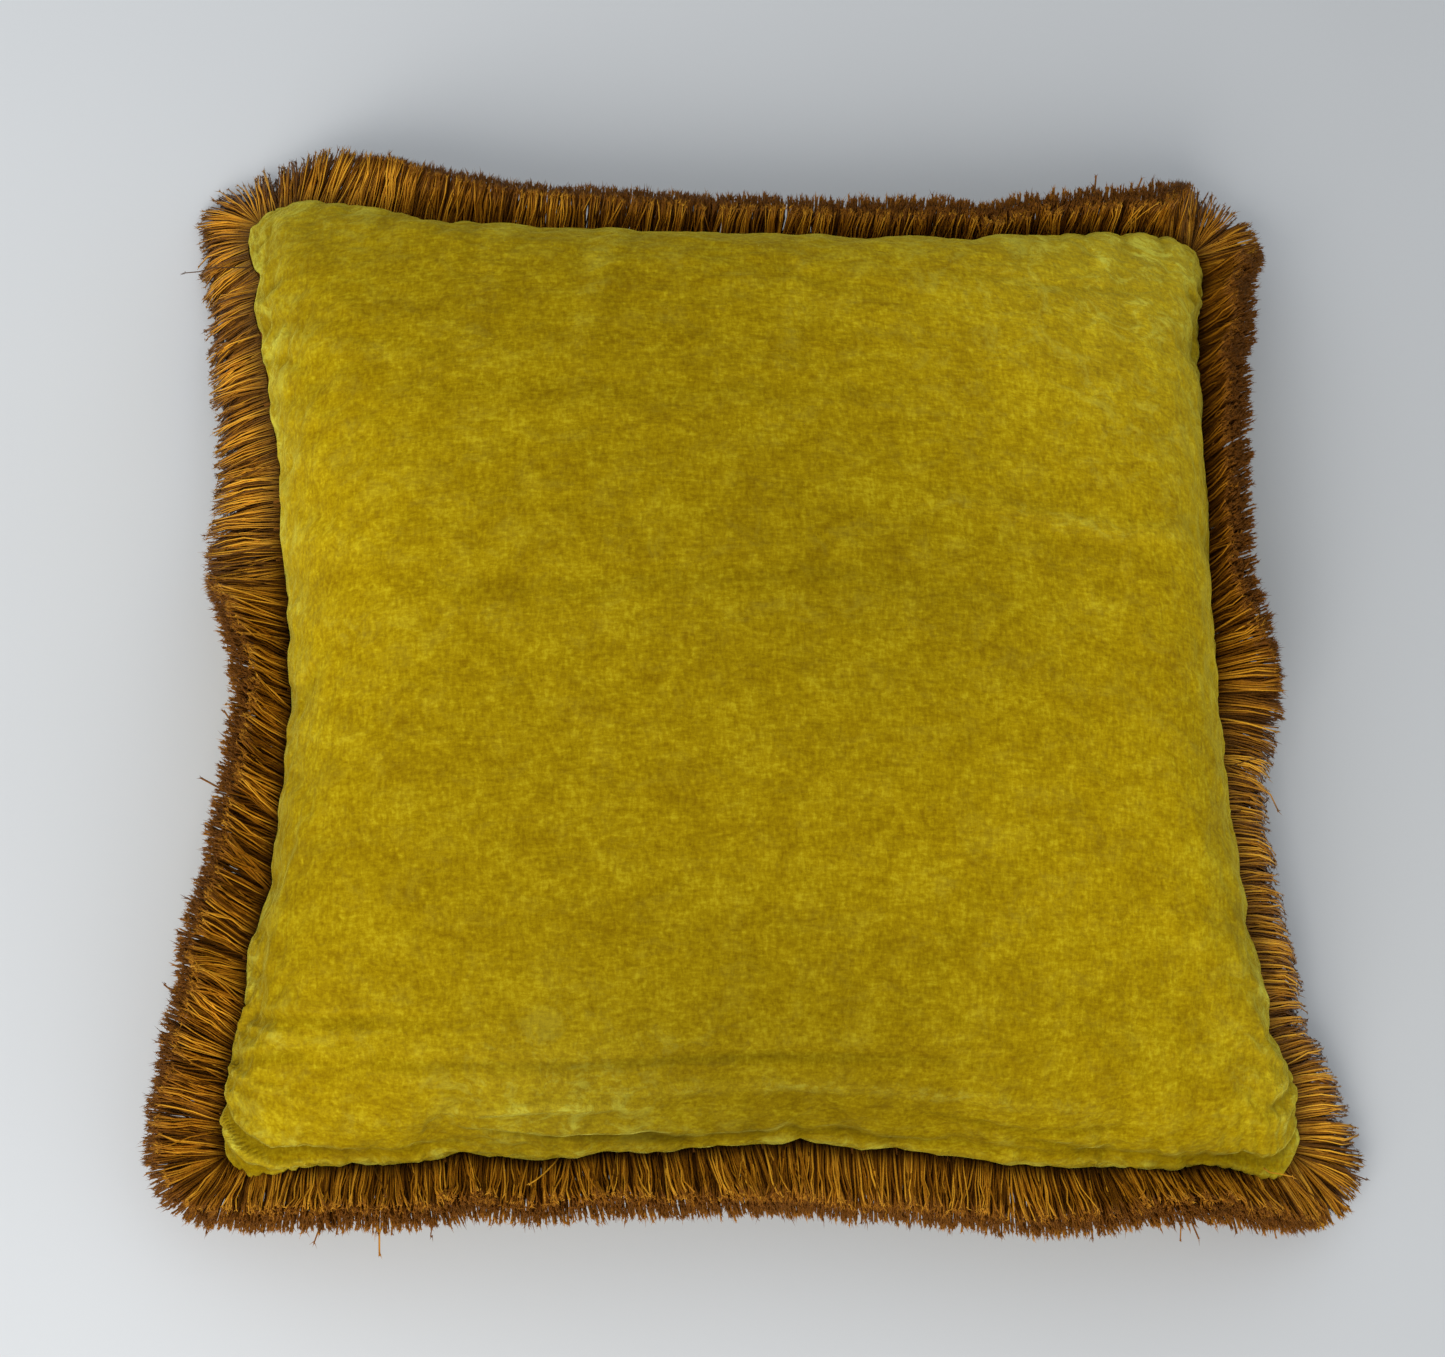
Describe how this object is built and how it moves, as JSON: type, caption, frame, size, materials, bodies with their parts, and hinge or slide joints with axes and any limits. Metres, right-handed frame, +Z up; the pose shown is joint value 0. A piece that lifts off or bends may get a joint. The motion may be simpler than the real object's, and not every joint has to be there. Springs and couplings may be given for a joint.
{
  "type": "throw pillow",
  "caption": "Square velvet throw pillow with a cut brush fringe in its seam, a filled insert and a concealed zip under the fringe.",
  "frame": {"origin": "under the middle of the cushion, on the surface it lies on, in the middle of its box", "axes": "+Z up out of the front panel, +X to the right along the zip, +Y away from the zipped side"},
  "size_m": [0.5566, 0.558, 0.14],
  "materials": {
    "velvet": "crushed velvet pile",
    "fringe_yarn": "lustrous rayon yarn",
    "header_weave": "woven tape",
    "ticking": "plain cotton weave",
    "filling": "loose feather",
    "zip_tape": "twill tape",
    "zip_nylon": "drawn nylon coil",
    "zip_metal": "antique brass plating",
    "thread": "polyester sewing thread"
  },
  "bodies": {
    "cover": {"front_panel": "velvet", "back_panel": "velvet", "fringe_header": "header_weave", "fringe_near": "fringe_yarn", "fringe_right": "fringe_yarn", "fringe_far": "fringe_yarn", "fringe_left": "fringe_yarn", "insert_case_front": "ticking", "insert_case_back": "ticking", "insert_filling": "filling", "zip_tape_upper": "zip_tape", "zip_tape_lower": "zip_tape", "zip_coil_upper": "zip_nylon", "zip_coil_lower": "zip_nylon", "zip_top_stops": "zip_metal", "zip_bottom_stop": "zip_metal", "zip_stitching": "thread"},
    "slider": {"zip_slider": "zip_metal"},
    "pull_tab": {"zip_pull_tab": "zip_metal"}
  },
  "joints": [
    {"name": "zip_slide", "type": "slide", "parent": "cover", "child": "slider", "axis": [-1, 0, 0], "range_m": [0, 0.277]},
    {"name": "zip_pull_hinge", "type": "hinge", "parent": "slider", "child": "pull_tab", "pos_m": [0.1385, -0.22425, 0.03197], "axis": [0, -0.682, 0.7314], "range_deg": [-85, 85]}
  ]
}
